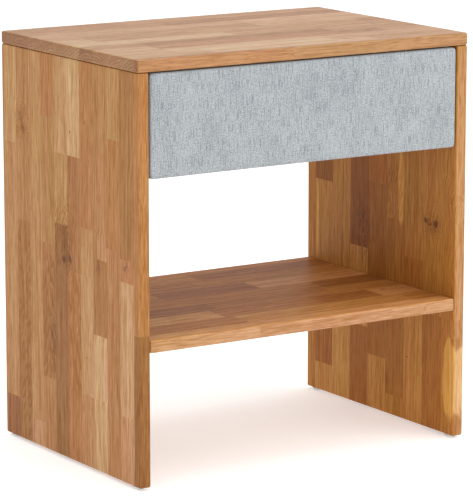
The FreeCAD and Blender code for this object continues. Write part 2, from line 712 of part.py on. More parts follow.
def drawer_front(screws, pins):
    """The core board, its padding and the cloth wrapped round both, with the holes of screws and staples."""
    corner = COVER_CORNER_RADIUS - CLOTH
    core = front_block(CLOTH, core_face, core_back, corner)
    padding = front_block(CLOTH, front + CLOTH, core_face, corner)
    padding = padding.makeFillet(COVER_FACE_RADIUS - CLOTH, rim_edges(padding, front + CLOTH))
    cover = front_block(0, front, core_back + CLOTH, COVER_CORNER_RADIUS)
    cover = cover.makeFillet(COVER_FACE_RADIUS, rim_edges(cover, front))
    cover = cover.makeFillet(HEM_ROUNDING, rim_edges(cover, core_back + CLOTH))
    window_half = front_half - CLOTH - HEM_SHORT
    window = box(
        -window_half, window_half, core_back, core_back + CLOTH + OVERCUT,
        front_bottom + CLOTH + HEM_LONG, front_top - CLOTH - HEM_LONG,
    )  # fmt: skip
    cover = cover.cut([core, padding, window])
    return core.cut(screws + pins), padding, cover.cut(pins)


def staple(x, z, along):
    """One staple in the hem, seen from behind, its crown along x or z."""
    y = core_back + CLOTH
    half = STAPLE_CROWN / 2
    side = Z if along == X else X
    low = Vector(x, y, z) - along * half - side * (STAPLE_WIDTH / 2)
    high = Vector(x, y + STAPLE_WIRE, z) + along * half + side * (STAPLE_WIDTH / 2)
    crown = box(low.x, high.x, low.y, high.y, low.z, high.z)
    legs = []
    for end in (low, high - along * STAPLE_WIRE - side * STAPLE_WIDTH):
        far = end + along * STAPLE_WIRE + side * STAPLE_WIDTH
        legs.append(box(end.x, far.x, y + STAPLE_WIRE, y + STAPLE_WIRE - STAPLE_LEG, end.z, far.z))
    return fused([crown] + legs)


def staples():
    """Staples along all four hems, evenly spaced."""
    made = []
    long_run = 2 * (front_half - COVER_CORNER_RADIUS - STAPLE_CROWN)
    count = max(2, round(long_run / STAPLE_PITCH))
    for i in range(count + 1):
        x = -long_run / 2 + long_run * i / count
        for z in (front_bottom + CLOTH + HEM_LONG / 2, front_top - CLOTH - HEM_LONG / 2):
            made.append(staple(x, z, X))
    short_run = FRONT_HEIGHT - 2 * (HEM_LONG + STAPLE_CROWN)
    count = max(1, round(short_run / STAPLE_PITCH))
    middle = (front_bottom + front_top) / 2
    for i in range(count + 1):
        z = middle - short_run / 2 + short_run * i / count
        for x in (-front_half + CLOTH + HEM_SHORT / 2, front_half - CLOTH - HEM_SHORT / 2):
            made.append(staple(x, z, Z))
    return made


def front_screws():
    """Screws from inside the box into the core board."""
    screws, recesses = [], []
    reach = box_half - BOX_BOARD - FRONT_SCREW_INSET_X
    for x in (-reach, reach):
        for z in (box_bottom + FRONT_SCREW_INSET_Z, box_top - FRONT_SCREW_INSET_Z):
            start = Vector(x, core_back + BOX_BOARD, z)
            sizes = (FRONT_SCREW_DIAMETER, FRONT_SCREW_HEAD, FRONT_SCREW_HEAD_HEIGHT, FRONT_SCREW_LENGTH)
            screw, recess = pan_screw(*sizes, start, Y * -1)
            screws.append(screw)
            recesses += recess
    return screws, recesses


# ---------------------------------------------------------------- building


def build_carcass(side_screws):
    """Boards, joints and glides."""
    dowels, bolts, cams, caps, holes = carcass_joints()
    feet = glide_places()
    nails = [glide_nail(place) for place in feet.values()]
    top = rounded_board(-WIDTH / 2, WIDTH / 2, front, rear, side_top, HEIGHT, EDGE_RADIUS)
    left = rounded_board(-WIDTH / 2, -inner, front, rear, GLIDE_HEIGHT, side_top, EDGE_RADIUS)
    shelf = rounded_board(-inner, inner, front, inside_rear, SHELF_TOP - BOARD, SHELF_TOP, EDGE_RADIUS)
    rail_front, rail_bottom = inside_rear - BOARD, side_top - RAIL_HEIGHT
    rail = rounded_board(-inner, inner, rail_front, inside_rear, rail_bottom, side_top, EDGE_RADIUS)
    save("top_panel", top.cut(holes))
    save_pair("side_panel", left.cut(holes + nails + side_screws))
    save("shelf", shelf.cut(holes))
    save("rear_rail", rail.cut(holes))
    save("wood_dowels", dowels)
    save("cam_bolts", bolts)
    save("cam_locks", cams)
    save("cam_caps", caps)
    for (name, place), nail in zip(feet.items(), nails):
        save(name, glide(place, nail))
    save("glide_nails", nails)


def build_slides(side_screws, box_screws, recesses):
    """Slides, their balls, levers and screws."""
    stop, peg = bumper()
    save_pair("slide_outer", slide_outer_body().cut(side_screws + [peg]))
    save_pair("slide_middle", slide_middle_body())
    rivet = lever_rivet()
    save_pair("slide_inner", slide_inner_body().cut(box_screws + [rivet]))
    for name, web, w, u in (
        ("outer", outer_cage_web, outer_balls, outer_race),
        ("inner", inner_cage_web, inner_balls, inner_race),
    ):
        strip, balls = cage(web, w, u)
        save_pair(f"{name}_ball_cage", strip)
        save_pair(f"{name}_balls", balls)
    save_pair("release_lever", release_lever())
    save("lever_rivets", both_sides([rivet]))
    save("slide_bumpers", both_sides([stop]))
    save("side_slide_screws", both_sides([s.cut(recesses) for s in side_screws]))
    save("box_slide_screws", both_sides([s.cut(recesses) for s in box_screws]))


def build_drawer(box_screws):
    """Drawer box and its cloth-covered front."""
    screws, recesses = front_screws()
    left, box_front, box_back, bottom = drawer_box(box_screws, screws)
    save_pair("box_side", left)
    save("box_front", box_front)
    save("box_back", box_back)
    save("box_bottom", bottom)
    pins = staples()
    core, padding, cover = drawer_front(screws, pins)
    save("front_board", core)
    save("front_padding", padding)
    save("front_cover", cover)
    save("cover_staples", pins)
    save("front_screws", [s.cut(recesses) for s in screws])


def main():
    os.makedirs("parts", exist_ok=True)
    side_screws, box_screws, recesses = slide_screws()
    build_carcass(side_screws)
    build_slides(side_screws, box_screws, recesses)
    build_drawer(box_screws)


main()
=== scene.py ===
import math
from typing import NamedTuple

import bmesh
import bpy
from bpy.props import FloatProperty, FloatVectorProperty, IntProperty, PointerProperty
from bpy.types import Operator, Panel, PropertyGroup
from mathutils import Matrix, Vector


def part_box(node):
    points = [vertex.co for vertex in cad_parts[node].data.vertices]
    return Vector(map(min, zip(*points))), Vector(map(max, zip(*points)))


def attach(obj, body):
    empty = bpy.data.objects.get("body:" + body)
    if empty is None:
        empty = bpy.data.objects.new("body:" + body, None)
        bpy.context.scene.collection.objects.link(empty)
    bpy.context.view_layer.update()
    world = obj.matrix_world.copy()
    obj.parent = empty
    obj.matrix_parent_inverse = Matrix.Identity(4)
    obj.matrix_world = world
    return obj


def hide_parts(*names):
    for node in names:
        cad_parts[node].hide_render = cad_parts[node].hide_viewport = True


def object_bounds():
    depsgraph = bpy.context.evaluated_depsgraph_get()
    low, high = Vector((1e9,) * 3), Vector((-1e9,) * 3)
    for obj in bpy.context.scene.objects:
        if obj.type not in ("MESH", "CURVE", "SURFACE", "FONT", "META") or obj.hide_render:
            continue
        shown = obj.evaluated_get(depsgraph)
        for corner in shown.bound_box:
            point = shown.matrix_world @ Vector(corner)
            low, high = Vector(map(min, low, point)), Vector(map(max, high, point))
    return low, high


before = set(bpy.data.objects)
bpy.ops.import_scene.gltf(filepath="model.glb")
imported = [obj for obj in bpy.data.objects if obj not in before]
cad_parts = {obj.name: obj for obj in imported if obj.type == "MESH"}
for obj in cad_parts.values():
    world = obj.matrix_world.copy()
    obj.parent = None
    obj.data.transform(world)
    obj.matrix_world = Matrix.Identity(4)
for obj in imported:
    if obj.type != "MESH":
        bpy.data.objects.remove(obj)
CAD_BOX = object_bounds()

bl_info = {
    "name": "Nightstand Finishes",
    "version": (1, 0, 0),
    "blender": (4, 5, 0),
    "location": "3D View > Sidebar > Nightstand",
    "description": "Gives a nightstand with one drawer its wood, its hardware finishes and its cloth front",
    "category": "Object",
}

MM = 0.001


# ---------------------------------------------------------------------------------------------
# Colours and settings


def linear(red, green, blue):
    """The linear colour of a screen colour given from 0 to 255."""
    parts = [part / 255 for part in (red, green, blue)]
    return tuple(((part + 0.055) / 1.055) ** 2.4 if part > 10 / 255 else part / 12.92 for part in parts)


def colour(name, description, default):
    """A colour that a user may change."""
    return FloatVectorProperty(
        name=name,
        description=description,
        subtype="COLOR",
        size=3,
        min=0.0,
        max=1.0,
        default=linear(*default),
    )


def length(name, description, default):
    """A length that a user may change."""
    return FloatProperty(
        name=name,
        description=description,
        default=default,
        min=0.0,
        unit="LENGTH",
        precision=5,
    )


def share(name, description, default):
    """A strength from none to full that a user may change."""
    return FloatProperty(
        name=name,
        description=description,
        default=default,
        min=0.0,
        max=1.0,
        subtype="FACTOR",
    )


def strength(name, description, default):
    """A strength with no upper limit that a user may change."""
    return FloatProperty(name=name, description=description, default=default, min=0.0)


def lamp_power(name, description, default):
    """A lamp's power, in watts, that a user may change."""
    return FloatProperty(name=name, description=description, default=default, unit="POWER")


class NightstandWood(PropertyGroup):
    cream: colour("Cream", "Palest lamellas, nearly sapwood", (190, 148, 103))
    pale: colour("Pale", "Pale lamellas", (182, 137, 90))
    honey: colour("Honey", "Warm light lamellas", (175, 128, 78))
    tan: colour("Tan", "Middle lamellas", (169, 120, 70))
    rust: colour("Rust", "Reddish lamellas", (168, 114, 64))
    brown: colour("Brown", "Dark heartwood lamellas", (159, 109, 60))
    umber: colour("Umber", "Darkest heartwood lamellas", (147, 98, 53))
    birch: colour("Birch", "Lacquered boards of the drawer box", (214, 186, 146))
    birch_warm: colour("Warm birch", "Darker boards of the drawer box", (206, 174, 132))
    beech: colour("Beech", "Dowels", (205, 165, 120))
    knot: colour("Knot", "Heart of a knot, cracks and dark marks", (84, 52, 34))
    sapwood: colour("Sapwood", "Pale patches beside the bark", (228, 188, 140))
    smoke: colour("Smoke", "Dark smudges beside knots", (116, 76, 50))
    ring: length("Ring", "Width of a year ring", 3.8 * MM)
    pith_side: length("Pith beside", "How far the pith lies to a stave's side at most", 90 * MM)
    pith_depth: length("Pith below", "How far the pith lies below a stave at most", 55 * MM)
    pore: share("Pores", "How dark the pores are", 0.35)
    wear: share("Wear", "How rubbed the edges are", 0.3)


class NightstandCloth(PropertyGroup):
    light: colour("Light thread", "Lighter threads of the cloth", (181, 186, 189))
    dark: colour("Dark thread", "Darker threads and slubs of the cloth", (120, 126, 131))
    fleece: colour("Wadding", "Polyester wadding under the cloth", (233, 231, 224))
    thread: length("Thread", "From one thread to the next", 0.6 * MM)
    slub_width: length("Slub width", "Width of a slub", 1.3 * MM)
    slub_length: length("Slub length", "Length of a slub", 20 * MM)
    thickness: length("Thickness", "Thickness of the cloth", 0.9 * MM)
    cell: length("Cell", "Mesh size of the cloth before it is subdivided", 8 * MM)
    outline: length("Outline radius", "Rounding of the front's four corners", 5 * MM)
    rim: length("Rim radius", "Rounding round the front's face", 3.6 * MM)
    fold: length("Fold radius", "Rounding where the cloth turns on to the back", 0.8 * MM)
    side_hem: length("Side hem", "Cloth turned on to the back at the two ends", 10 * MM)
    long_hem: length("Long hem", "Cloth turned on to the back above and below", 21 * MM)
    swell: length("Swell", "The most that the padding lifts the cloth", 0.9 * MM)
    hollow: length("Hollow", "How far the lower edge is drawn up at its middle", 0.7 * MM)
    frames: IntProperty(name="Frames", description="Steps of the cloth simulation", default=14, min=2, max=60)
    pressure: strength("Pressure", "Push of the padding on the cloth", 4.0)


class NightstandHardware(PropertyGroup):
    zinc: colour("Zinc", "Zinc-plated steel", (176, 180, 184))
    steel: colour("Steel", "Polished steel balls", (205, 206, 208))
    clear: colour("Glide", "Milky plastic of the glides", (226, 228, 226))
    caps: colour("Caps", "Moulded caps over the fittings", (196, 160, 118))
    levers: colour("Levers", "Moulded release levers", (24, 24, 25))
    rubber: colour("Rubber", "Rubber buffers", (40, 39, 38))


class NightstandStudio(PropertyGroup):
    floor: colour("Floor", "Pale floor", (246, 245, 243))
    glow: strength("Floor glow", "Light that comes up through the floor", 0.42)
    fill: strength("Fill", "Strength of the even light from all round", 0.81)
    sky_power: lamp_power("Overhead", "Overhead soft light", 22.0)
    side_power: lamp_power("Left", "Soft light on the left", 5.0)
    front_power: lamp_power("Right", "Soft light at the front right", 38.0)
    lens: FloatProperty(name="Lens", description="Focal length", default=225.3, min=1.0, unit="CAMERA")


# ---------------------------------------------------------------------------------------------
# Shader building


class Wire:
    """A shader socket. Python's operators on it add Math nodes."""

    def __init__(self, finish, socket):
        self.finish = finish
        self.socket = socket

    def __add__(self, other):
        return self.finish.maths("ADD", self, other)

    def __sub__(self, other):
        return self.finish.maths("SUBTRACT", self, other)

    def __rsub__(self, other):
        return self.finish.maths("SUBTRACT", other, self)

    def __mul__(self, other):
        return self.finish.maths("MULTIPLY", self, other)

    def __truediv__(self, other):
        return self.finish.maths("DIVIDE", self, other)

    def __gt__(self, other):
        return self.finish.maths("GREATER_THAN", self, other)

    def __abs__(self):
        return self.finish.maths("ABSOLUTE", self)

    __radd__ = __add__
    __rmul__ = __mul__

    def output(self, number):
        """Another output of the same node."""
        return Wire(self.finish, self.socket.node.outputs[number])


class Finish:
    """A material under construction, from its coordinates to its shader."""

    def __init__(self, name):
        self.material = bpy.data.materials.new(name)
        self.material.use_nodes = True
        self.tree = self.material.node_tree
        self.tree.nodes.clear()
        self.shader = self.tree.nodes.new("ShaderNodeBsdfPrincipled")
        output = self.tree.nodes.new("ShaderNodeOutputMaterial")
        self.tree.links.new(self.shader.outputs[0], output.inputs[0])
        self.place = self.split(self.node("TexCoord", output=3))

    def feed(self, socket, value):
        """Links a wire to a socket, or sets the socket's own value."""
        if isinstance(value, Wire):
            self.tree.links.new(value.socket, socket)
        elif socket.type == "RGBA":
            socket.default_value = (*value, 1.0)
        else:
            socket.default_value = value

    def node(self, kind, settings=None, sockets=None, output=0):
        """Adds a node of any kind: its settings first, then its sockets by name or number."""
        made = self.tree.nodes.new("ShaderNode" + kind)
        for name, value in (settings or {}).items():
            if name == "stops":
                self.set_stops(made.color_ramp, value)
            else:
                setattr(made, name, value)
        for name, value in (sockets or {}).items():
            self.feed(made.inputs[name], value)
        return Wire(self, made.outputs[output])

    @staticmethod
    def set_stops(ramp, stops):
        """Gives a ramp constant steps, each from its place on: (place, colour, alpha)."""
        ramp.interpolation = "CONSTANT"
        while len(ramp.elements) < len(stops):
            ramp.elements.new(1.0)
        while len(ramp.elements) > len(stops):
            ramp.elements.remove(ramp.elements[-1])
        for element, (place, tint, alpha) in zip(ramp.elements, stops):
            element.position = place
            element.color = (*tint, alpha)

    def maths(self, operation, *values):
        return self.node("Math", {"operation": operation}, dict(enumerate(values)))

    def mix(self, factor, first, second):
        """A colour between two colours."""
        settings = {"data_type": "RGBA"}
        return self.node("Mix", settings, {0: factor, 6: first, 7: second}, 2)

    def tint(self, base, by):
        """A colour multiplied by another."""
        return self.node("VectorMath", {"operation": "MULTIPLY"}, {0: base, 1: by})

    def vector(self, x, y, z):
        return self.node("CombineXYZ", None, {0: x, 1: y, 2: z})

    def split(self, vector):
        first = self.node("SeparateXYZ", None, {0: vector})
        return [first, first.output(1), first.output(2)]

    def smooth(self, value, low, high):
        """0 below low, 1 above high and a soft step between."""
        return self.node("MapRange", {"interpolation_type": "SMOOTHSTEP"}, {0: value, 1: low, 2: high})

    def noise(self, x, y, z, detail=2.0, roughness=0.5):
        """Soft random numbers from 0 to 1, which change about once in each unit of x, y and z."""
        sockets = {"Vector": self.vector(x, y, z), "Scale": 1.0, "Detail": detail, "Roughness": roughness}
        return self.node("TexNoise", None, sockets)

    def finished(self, constants=None, height=None, bump=0.4, depth=0.2 * MM, **sockets):
        """Feeds the shader by its sockets' names, spaces written as underscores, and returns the material."""
        if height is not None:
            self.feed(
                self.shader.inputs["Normal"],
                self.node("Bump", None, {"Height": height, "Strength": bump, "Distance": depth}),
            )
        for name, value in {**sockets, **(constants or {})}.items():
            self.feed(self.shader.inputs[name.replace("_", " ")], value)
        return self.material


def dress(node, material):
    """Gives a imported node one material."""
    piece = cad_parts[node]
    if not piece.material_slots:
        piece.data.materials.append(material)
    for place in piece.material_slots:
        place.material = material


# ---------------------------------------------------------------------------------------------
# Wood


class Board(NamedTuple):
    """A board glued up from staves.

    Ways are the sides that its length, width and thickness are measured from. Stave is a stave's width and
    first_seam the place of the first seam, in mm. Each stave is a line of lamella colours and the joints
    between them, in mm along the board. Marks are (kind, along, across, half length, half width, tilt in
    degrees), in mm. Figures are (stave, from, to, pitch, slope, folded), in mm along the board. The last
    field
    is painted light: the way that a face looks and the tint that its colours are multiplied by, so that this
    face is lit or shaded in its colour rather than by the lamps.
    """

    node: str
    ways: tuple
    stave: float
    first_seam: float
    staves: tuple
    marks: tuple = ()
    figures: tuple = ()
    # Painted light for one face: the way that it looks and the tint on its colours.
    painted_face_light: tuple = ()


STANDING = ("-z", "-y", "+x")
LYING = ("+x", "-y", "+z")

LEFT_PANEL = Board(
    "left_side_panel",
    STANDING,
    36,
    6.5,
    (
        "tan",
        "pale 137 honey 513 umber",
        "tan 248 brown",
        "honey 535 pale",
        "rust 88 tan 270 brown 465 tan",
        "pale 135 honey 237 umber",
        "cream 135 brown 300 rust",
        "rust 232 honey 300 pale 470 honey",
        "tan 232 honey 270 brown 378 cream",
        "honey 98 rust 250 tan",
        "brown 258 rust 290 cream 478 pale",
        "rust 360 umber",
    ),
    (
        ("knot", 287, 176, 7, 6, 0),
        ("knot", 283, 193, 8, 5, 20),
        ("knot", 85, 236, 2.2, 1.8, 0),
        ("knot", 103, 196, 3, 2, 0),
        ("knot", 417, 238, 1.2, 3, -15),
        ("smudge", 268, 184, 48, 17, 4),
        ("smudge", 400, 145, 60, 14, 0),
        ("smudge", 282, 271, 14, 12, 0),
        ("smudge", 108, 58, 26, 9, 28),
        ("smudge", 272, 345, 16, 12, 0),
        ("crack", 451, 322, 27, 1.1, 8),
        ("swirl", 262, 186, 75, 30, 0),
        ("swirl", 100, 60, 40, 22, 25),
    ),
    (
        (4, 285, 465, 27, 1.9, True),
        (2, 250, 574, 19, -2.6, False),
        (6, 300, 480, 40, 2.8, False),
        (5, 200, 300, 15, -1.8, False),
        (2, 82, 134, 9, 1.6, False),
    ),
)

RIGHT_PANEL = Board(
    "right_side_panel",
    STANDING,
    46.8,
    22.2,
    (
        "honey",
        "umber 242 pale 400 brown 527 cream",
        "pale 400 cream",
        "umber 328 cream 450 brown",
        "rust 225 brown 490 pale",
        "honey 272 tan 400 brown 542 honey",
        "honey 323 tan 400 pale",
        "honey 400 brown",
        "honey 427 tan",
    ),
    (
        ("knot", 264, 308, 6, 5, 0),
        ("knot", 266, 332, 7, 9, 20),
        ("smudge", 268, 326, 24, 30, 0),
        ("smudge", 300, 148, 70, 30, 0),
        ("swirl", 265, 322, 40, 38, 0),
        ("knot", 477, 264, 1.2, 5, -5),
        ("sapwood", 305, 28, 64, 3.2, 0),
        ("sapwood", 225, 246, 60, 9, 0),
        ("sapwood", 490, 370, 66, 19, 0),
        ("swirl", 225, 366, 45, 18, 20),
        ("swirl", 335, 366, 50, 16, -10),
    ),
    ((5, 190, 272, 22, -3.2, False),),
    # Painted shade and warm bounce light: the inner face, which looks towards -x, is darker and more orange
    # in its colour.
    ("-x", (1.02, 0.87, 0.42)),
)

TOP_PANEL = Board(
    "top_panel",
    LYING,
    36.5,
    5,
    (
        "tan",
        "tan 60 rust 185 honey",
        "tan 232 brown",
        "pale 350 cream",
        "pale 55 tan 345 pale",
        "pale 50 tan 215 honey 505 rust",
        "cream 255 honey 490 tan",
        "tan 90 brown 400 tan",
        "pale 85 rust 400 brown 470 tan",
        "pale 90 cream 345 pale",
        "pale 130 cream 400 honey",
        "rust 250 tan",
    ),
    (
        ("knot", 447, 280, 6, 7, 0),
        ("knot", 362, 342, 6, 3, 25),
        ("smudge", 502, 206, 9, 9, 0),
        ("smudge", 240, 62, 9, 6, 0),
    ),
)

SHELF = Board(
    "shelf",
    LYING,
    46.5,
    22,
    (
        "tan",
        "tan 275 umber",
        "brown 250 tan",
        "tan 155 umber 318 pale",
        "tan 400 umber",
        "umber 190 brown 395 tan",
        "pale 168 brown 340 umber 440 pale",
        "brown 178 honey 462 brown",
        "pale",
    ),
    (
        ("smudge", 118, 236, 12, 9, 0),
        ("knot", 466, 263, 6, 4, 20),
    ),
    (),
    # Painted light: the shelf's top face is lighter and warmer in its colour than its other faces.
    ("+z", (1.25, 1.13, 0.82)),
)

REAR_RAIL = Board(
    "rear_rail",
    ("+x", "-z", "+y"),
    41,
    10,
    ("tan", "tan 210 pale 400 brown", "honey 120 rust 330 tan", "pale 260 honey"),
)


class Mark(NamedTuple):
    """How a kind of mark looks: its colour, how well that covers, and where its fade begins and ends.

    Curl is how far the mark breaks up into curls, and bend is how many rings it pushes aside.
    """

    ink: str
    cover: float
    inner: float
    outer: float
    curl: float = 0.0
    bend: float = 0.0


MARKS = {
    "knot": Mark("knot", 0.8, 0.35, 1.1),
    "smudge": Mark("smoke", 0.75, 0.2, 1.0, curl=0.85),
    "crack": Mark("knot", 0.75, 0.6, 1.0),
    "sapwood": Mark("sapwood", 0.75, 0.82, 1.0),
    "swirl": Mark("smoke", 0.0, 0.0, 1.0, bend=7.0),
}

SHADE_DARK = (0.76, 0.66, 0.48)
SHADE_LIGHT = (1.20, 1.33, 1.62)
OLIVE = (0.985, 1.02, 0.93)
PINK = (1.03, 0.95, 1.08)
END_GRAIN = (0.68, 0.56, 0.38)
PORE_SHADE = (0.6, 0.5, 0.42)
MIDDLE_SHADE = 0.58
GOLDEN_SHARE = 0.618034  # its multiples are spread evenly between whole numbers
WORN_EDGE = 2.6 * MM


def measured(finish, way, low, high):
    """The place along one axis, from the low or the high side of a node."""
    axis = "xyz".index(way[1])
    if way[0] == "-":
        return high[axis] - finish.place[axis]
    return finish.place[axis] - low[axis]


def lay_staves(finish, board, wood, along, across, span):
    """The lamella's colour and random number, the stave's number, and the place across it from 0 to 1."""
    place = (across - board.first_seam * MM) / (board.stave * MM) + 1
    stave = finish.maths("FLOOR", place)
    tone = None
    chance = None
    for number, row in enumerate(board.staves):
        words = row.split()
        joints = [0.0] + [float(word) * MM / span for word in words[1::2]]
        stops = []
        for joint, kind in zip(joints, words[::2]):
            luck = (GOLDEN_SHARE * (number * 5 + len(stops) + 1)) % 1
            stops.append((joint, getattr(wood, kind), luck))
        ramp = finish.node("ValToRGB", {"stops": stops}, {0: along / span})
        if tone is None:
            tone = ramp
            chance = ramp.output(1)
        else:
            beyond = stave > number - 0.5
            tone = finish.mix(beyond, tone, ramp)
            chance = chance + beyond * (ramp.output(1) - chance)
    return tone, chance, stave, place - stave


def ellipse(finish, along, across, mark):
    """Distance from a mark's middle, 1 on its outline."""
    _, middle_along, middle_across, half_length, half_width, tilt = mark
    turn = math.radians(tilt)
    down = along - middle_along * MM
    beside = across - middle_across * MM
    long_way = (down * math.cos(turn) + beside * math.sin(turn)) / (half_length * MM)
    short_way = (beside * math.cos(turn) - down * math.sin(turn)) / (half_width * MM)
    return finish.maths("SQRT", long_way * long_way + short_way * short_way)


def edges(finish, low, high, reach):
    """1 on the edges where two faces of a box meet, fading within reach."""
    near = []
    for axis in range(3):
        middle = (low[axis] + high[axis]) / 2
        half = (high[axis] - low[axis]) / 2
        near.append(finish.smooth(abs(finish.place[axis] - middle), half - reach, half))
    pairs = [near[0] * near[1], near[1] * near[2], near[2] * near[0]]
    return finish.maths("MAXIMUM", finish.maths("MAXIMUM", pairs[0], pairs[1]), pairs[2])


def push_aside(finish, board, along, across):
    """How many rings the board's marks push aside at each place."""
    bend = 0.0
    for mark in board.marks:
        kind = MARKS[mark[0]]
        if kind.bend:
            bend = bend + (1 - finish.smooth(ellipse(finish, along, across, mark), 0.0, 1.0)) * kind.bend
    return bend


def staved_wood(board, wood, rough=0.46, specular=0.12, grain=1.0):
    """Solid wood glued up from staves, with rings, fibres, pores, knots, figure and end grain.

    Noise is in changes per metre. Grain is how strongly the fibres, rings and streaks show.
    """
    finish = Finish("wood_" + board.node)
    low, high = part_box(board.node)
    along, across, through = (measured(finish, way, low, high) for way in board.ways)
    grain_axis = "xyz".index(board.ways[0][1])
    span = high[grain_axis] - low[grain_axis]
    tone, chance, stave, within = lay_staves(finish, board, wood, along, across, span)
    facing = finish.split(finish.node("TexCoord", output=1))
    luck = finish.node("TexWhiteNoise", {"noise_dimensions": "1D"}, {"W": chance * 61.7 + stave}, 1)
    luck_side, luck_depth, luck_slant = finish.split(luck)

    bend = push_aside(finish, board, along, across)
    aslant = along * (luck_slant - 0.5) * 0.09
    waver = (finish.noise(along * 9, across * 30, chance * 50) - 0.5) * 0.009
    side = (within - 0.5) * board.stave * MM + aslant + waver
    beside = side + (luck_side - 0.5) * wood.pith_side
    below = through + 6 * MM + luck_depth * wood.pith_depth
    radius = finish.maths("SQRT", beside * beside + below * below)
    uneven = finish.noise(radius * 210, chance * 31, 0.0) * 1.6
    ring = finish.maths("FRACT", radius / (0.6 + luck_slant * 0.9) / wood.ring + bend + uneven)
    late = finish.smooth(ring, 0.25, 0.88) * (1 - finish.smooth(ring, 0.9, 1.0))
    end = finish.smooth(abs(facing[grain_axis]), 0.6, 0.9)
    late = late * (0.06 + chance * 0.22 + bend * 0.035 + end * (0.8 + luck_side * 0.5))

    lift = side + bend * 1.2 * MM
    deep = through * 700 + chance * 40
    fibre = finish.noise(along * 22, lift * 640, deep, 3.0, 0.6)
    stripe = finish.noise(along * 3.2, lift * 110, through * 110 + chance * 40, 4.0, 0.62)
    mottle = finish.noise(along * 60, across * 190, deep * 0.2)
    dash = finish.smooth(finish.noise(along * 46, lift * 800, deep * 2.0 + 9, 1.0), 0.54, 0.72)
    pores = finish.smooth(finish.noise(along * 130, lift * 2600, deep * 3.4, 1.0), 0.62, 0.72)
    shade = (fibre - 0.5) * 2.5 + (stripe - 0.5) * 1.4 + (mottle - 0.5) * 0.5 - late - dash * 0.4
    shade = MIDDLE_SHADE + shade * grain

    for number, start, stop, pitch, slope, folded in board.figures:
        sideways = abs(within - 0.5) if folded else within
        sloped = along - sideways * (slope * board.stave * MM)
        rows = sloped / (pitch * MM) + (mottle - 0.5) * 1.3 + stripe * 2.6
        wave = finish.maths("FRACT", rows)
        band = finish.smooth(wave, 0.2, 0.8) * (1 - finish.smooth(wave, 0.84, 1.0))
        inside = finish.maths("COMPARE", stave, number, 0.5)
        inside = inside * finish.smooth(along, (start - 12) * MM, (start + 22) * MM)
        inside = inside * (1 - finish.smooth(along, (stop - 10) * MM, (stop + 2) * MM))
        patch = finish.smooth(finish.noise(along * 34, across * 90, number * 3.7), 0.3, 0.62)
        shade = shade - inside * band * patch * 0.75

    shade = finish.node("Clamp", None, {0: shade})
    blush = finish.noise(along * 5, lift * 60, chance * 90, 1.0) * 1.6 + luck_side * 0.7 - 0.65
    blush = finish.node("Clamp", None, {0: blush})
    tone = finish.mix(blush, finish.tint(tone, OLIVE), finish.tint(tone, PINK))
    body = finish.mix(shade, finish.tint(tone, SHADE_DARK), finish.tint(tone, SHADE_LIGHT))
    body = finish.mix(pores * wood.pore, body, finish.tint(body, PORE_SHADE))
    burl = finish.smooth(finish.noise(along * 140, lift * 330, deep * 0.3, 2.0), 0.46, 0.6)
    for mark in board.marks:
        kind = MARKS[mark[0]]
        if kind.cover:
            reach = ellipse(finish, along, across, mark) + (mottle - 0.5) * 0.5
            faded = 1 - finish.smooth(reach, kind.inner, kind.outer)
            ink = getattr(wood, kind.ink)
            inked = finish.mix(shade, finish.tint(ink, SHADE_DARK), ink)
            body = finish.mix(faded * kind.cover * (1 - (1 - burl) * kind.curl), body, inked)

    # Painted light: the colour of the face that looks one way is multiplied by a tint. This is painted shade
    # and bounce light on the right panel's inner face, and painted light on the shelf's top.
    if board.painted_face_light:
        way, painted_light_tint = board.painted_face_light
        turned = facing["xyz".index(way[1])] * (1.0 if way[0] == "+" else -1.0)
        body = finish.mix(finish.smooth(turned, 0.3, 0.8), body, finish.tint(body, painted_light_tint))
    seam = finish.smooth(abs(within - 0.5), 0.5 - 0.3 / board.stave, 0.5)
    body = finish.mix(seam * 0.3, body, wood.knot)
    soaked = finish.noise(across * 26, through * 90, chance * 20, 3.0)
    body = finish.mix(end * (0.5 + soaked), body, finish.tint(body, END_GRAIN))
    rubbed = edges(finish, low, high, WORN_EDGE) * (0.5 + fibre)
    body = finish.mix(rubbed * wood.wear, body, finish.tint(body, SHADE_LIGHT))
    return finish.finished(
        {"Specular_IOR_Level": specular},
        height=fibre * 0.5 - pores * 0.5 - seam * 0.5,
        bump=0.35,
        Base_Color=body,
        Roughness=rough + pores * 0.2 + (0.5 - shade) * 0.12 - rubbed * 0.06,
    )


BOX_BOARDS = (
    Board("left_box_side", ("+y", "+z", "+x"), 62, 30, ("birch", "birch_warm", "birch")),
    Board("right_box_side", ("+y", "+z", "+x"), 58, 36, ("birch_warm", "birch", "birch_warm")),
    Board("box_front", ("+x", "+z", "+y"), 64, 34, ("birch", "birch_warm", "birch")),
    Board("box_back", ("+x", "+z", "+y"), 60, 28, ("birch_warm", "birch", "birch")),
    Board("box_bottom", ("+x", "+y", "+z"), 900, 500, ("birch", "birch")),
    Board("front_board", ("+x", "+z", "+y"), 70, 40, ("birch_warm", "birch", "birch")),
)


def dowel_wood(wood):
    """Compressed beech with short flecks."""
    finish = Finish("wood_dowels")
    x, y, z = finish.place
    fleck = finish.noise(x * 900, y * 900, z * 900)
    cloud = finish.noise(x * 120, y * 120, z * 120)
    dark = finish.tint(wood.beech, SHADE_DARK)
    return finish.finished(
        height=fleck,
        Base_Color=finish.mix(finish.smooth(fleck * 0.6 + cloud * 0.4, 0.35, 0.65), dark, wood.beech),
        Roughness=0.55 + (fleck - 0.5) * 0.3,
    )


# ---------------------------------------------------------------------------------------------
# Hardware


